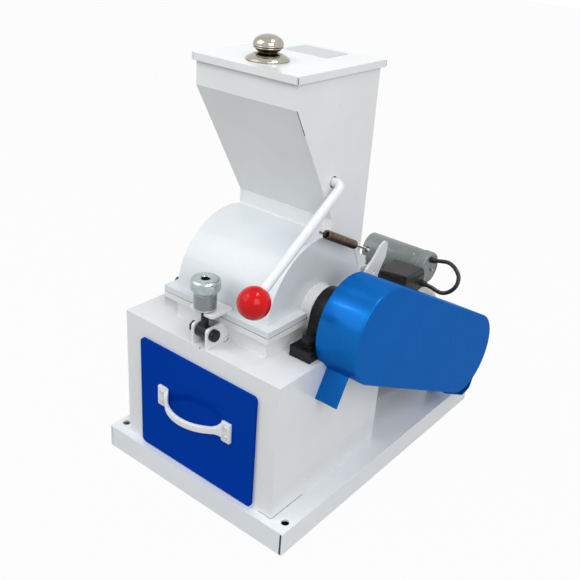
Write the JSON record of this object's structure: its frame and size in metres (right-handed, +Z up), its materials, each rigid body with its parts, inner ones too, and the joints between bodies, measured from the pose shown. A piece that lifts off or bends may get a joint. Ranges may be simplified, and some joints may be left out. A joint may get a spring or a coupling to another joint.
{
  "type": "grain mill",
  "caption": "Laboratory hammer mill on a folded steel tray, with a lidded hopper, sprung feed lever, clamped milling chamber, flour drawer and a guarded belt drive from an electric motor.",
  "frame": {"origin": "middle of the four fixing holes of the tray, on its top face, 35 mm above the floor", "axes": "+Z up; +Y from the drawer back to the motor; +X to the right seen from the drawer, towards the belt guard"},
  "size_m": [0.3525, 0.5092, 0.6075],
  "materials": {
    "white_paint": "gloss",
    "base_paint": "satin",
    "blue_paint": "gloss",
    "zinc": "satin",
    "steel": "machined",
    "hardened_steel": "dark",
    "black_iron": "painted black",
    "black_oxide": "black",
    "motor_alloy": "cast",
    "motor_sheet": "satin",
    "capacitor_shell": "satin",
    "capacitor_end": "satin",
    "black_plastic": "matte",
    "cable": "matte",
    "belt": "matte",
    "gasket": "matte",
    "ball": "gloss",
    "nickel": "polished",
    "plate": "satin",
    "spring": "dark bronze",
    "nut_zinc": "zinc plated",
    "pulley_iron": "grey iron"
  },
  "bodies": {
    "frame": {"base_tray": "base_paint", "lower_box": "white_paint", "drawer_runners": "zinc", "lower_casing": "white_paint", "flange_gasket": "gasket", "sieve": "zinc", "seal_housings": "white_paint", "bearing_housings": "black_iron", "bearing_outer_rings": "steel", "bearing_bolts": "black_oxide", "hinge_brackets": "white_paint", "hinge_pin": "zinc", "cover_rests": "white_paint", "clamp_ears": "white_paint", "clamp_pivot": "black_oxide", "motor_rails": "base_paint", "motor_housing": "motor_alloy", "motor_end_bells": "motor_alloy", "motor_fan_cover": "motor_sheet", "motor_bolts": "zinc", "capacitor_body": "capacitor_shell", "capacitor_cap": "capacitor_end", "terminal_box": "black_plastic", "terminal_lid": "black_plastic", "cable_glands": "black_plastic", "capacitor_cable": "cable", "v_belt": "belt", "belt_guard": "blue_paint", "guard_brackets": "blue_paint", "upper_casing": "white_paint", "hopper": "white_paint", "cover_lug": "white_paint", "hinge_leaves": "white_paint", "breaker_plate": "steel"},
    "drawer": {"drawer_bin": "zinc", "drawer_front": "blue_paint", "drawer_handle": "white_paint", "handle_screws": "zinc"},
    "lid": {"hopper_lid": "white_paint", "lid_knob": "nickel", "lid_plate": "plate"},
    "gate_lever": {"feed_lever": "white_paint", "ball_knob": "ball", "gate_flap": "zinc", "gate_spring": "spring"},
    "swing_bolt": {"eye_bolt": "black_oxide"},
    "washer": {"clamp_washer": "zinc"},
    "nut": {"clamp_nut": "nut_zinc"},
    "rotor": {"rotor_shaft": "steel", "rotor_discs": "steel", "hammer_pins": "steel", "rotor_pulley": "pulley_iron", "bearing_inner_rings": "steel"},
    "front_top_row": {"hammers_front_top": "hardened_steel"},
    "rear_top_row": {"hammers_rear_top": "hardened_steel"},
    "front_low_row": {"hammers_front_low": "hardened_steel"},
    "rear_low_row": {"hammers_rear_low": "hardened_steel"},
    "motor_rotor": {"motor_shaft": "steel", "motor_fan": "black_plastic", "motor_pulley": "pulley_iron"}
  },
  "joints": [
    {"name": "drawer_slide", "type": "slide", "parent": "frame", "child": "drawer", "axis": [0, -1, 0], "range_m": [0, 0.18]},
    {"name": "lid_lift", "type": "slide", "parent": "frame", "child": "lid", "axis": [0, 0, 1], "range_m": [0, 0.1]},
    {"name": "feed_lever_pivot", "type": "hinge", "parent": "frame", "child": "gate_lever", "pos_m": [0, -0.08, 0.403], "axis": [-1, 0, 0], "range_deg": [0, 35], "stiffness_Nm_per_rad": 1.5, "springref_deg": -20.05, "deforming": ["gate_spring"]},
    {"name": "clamp_swing", "type": "hinge", "parent": "frame", "child": "swing_bolt", "pos_m": [0, -0.22, 0.217], "axis": [1, 0, 0], "range_deg": [0, 92]},
    {"name": "clamp_nut_lift", "type": "slide", "parent": "swing_bolt", "child": "washer", "axis": [0, 0, 1], "range_m": [-0.0012, 0.006]},
    {"name": "clamp_nut_spin", "type": "hinge", "parent": "washer", "child": "nut", "pos_m": [0, -0.22, 0.27], "axis": [0, 0, 1], "range_deg": [-288, 1440]},
    {"name": "rotor_spin", "type": "hinge", "parent": "frame", "child": "rotor", "pos_m": [0, -0.095, 0.2355], "axis": [1, 0, 0], "continuous": true},
    {"name": "motor_spin", "type": "hinge", "parent": "frame", "child": "motor_rotor", "pos_m": [0, 0.163, 0.099], "axis": [1, 0, 0], "continuous": true},
    {"name": "front_top_swing", "type": "hinge", "parent": "rotor", "child": "front_top_row", "pos_m": [0, -0.12894, 0.26944], "axis": [1, 0, 0], "range_deg": [-270, 3]},
    {"name": "rear_top_swing", "type": "hinge", "parent": "rotor", "child": "rear_top_row", "pos_m": [0, -0.06106, 0.26944], "axis": [1, 0, 0], "range_deg": [-3, 270]},
    {"name": "front_low_swing", "type": "hinge", "parent": "rotor", "child": "front_low_row", "pos_m": [0, -0.12894, 0.20156], "axis": [1, 0, 0], "range_deg": [-183, 93]},
    {"name": "rear_low_swing", "type": "hinge", "parent": "rotor", "child": "rear_low_row", "pos_m": [0, -0.06106, 0.20156], "axis": [1, 0, 0], "range_deg": [-93, 183]}
  ],
  "couplings": [
    {"joint": "clamp_nut_lift", "follows": "clamp_nut_spin", "m_per_rad": 0.00023873},
    {"joint": "motor_spin", "follows": "rotor_spin", "ratio": 0.8}
  ]
}
